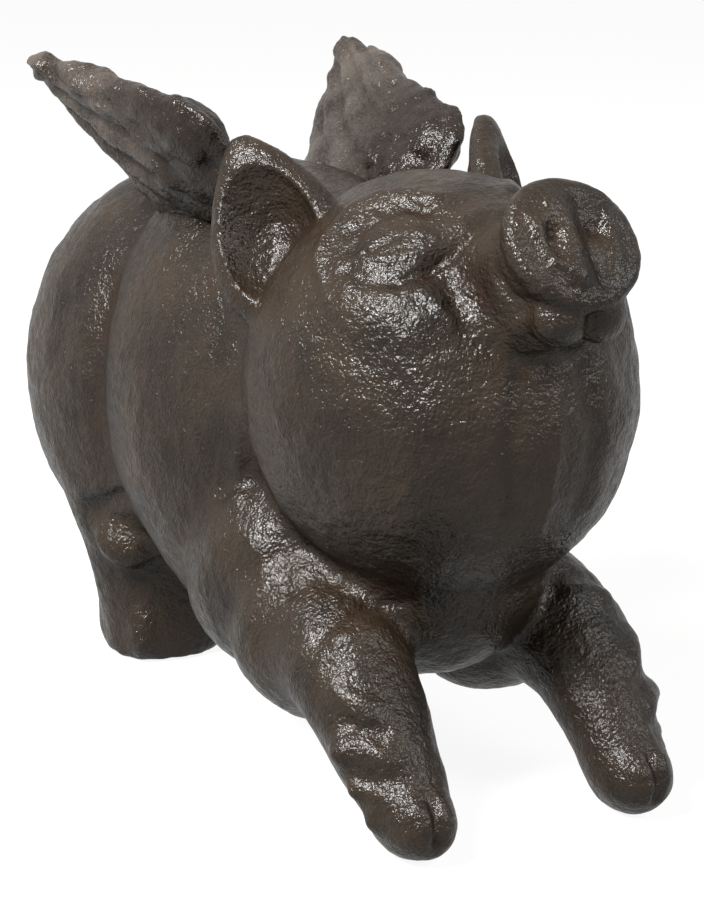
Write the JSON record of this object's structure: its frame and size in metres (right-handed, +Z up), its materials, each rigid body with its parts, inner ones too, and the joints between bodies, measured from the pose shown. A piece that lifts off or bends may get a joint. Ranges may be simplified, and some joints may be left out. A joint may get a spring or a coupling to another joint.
{
  "type": "winged pig figurine",
  "caption": "Standing cast pig figurine with an upturned snout, raised wings and outstretched forelegs, made of hollow halves clamped together.",
  "frame": {"origin": "centre of the bounding box at the height of the soles", "axes": "+Z up, the pig faces -Y, and +X is the pig's left side"},
  "size_m": [0.0634, 0.166, 0.1068],
  "materials": {
    "lacquered_iron": "dark brown gloss lacquer over sand-cast iron",
    "plain_steel": "plain turned steel"
  },
  "bodies": {
    "root": {"right_half": "lacquered_iron", "left_half": "lacquered_iron", "right_wing": "lacquered_iron", "left_wing": "lacquered_iron", "right_wing_washer": "plain_steel", "left_wing_washer": "plain_steel", "right_wing_screw": "plain_steel", "left_wing_screw": "plain_steel", "clamp_screw": "lacquered_iron", "clamp_nut": "plain_steel"}
  },
  "joints": []
}
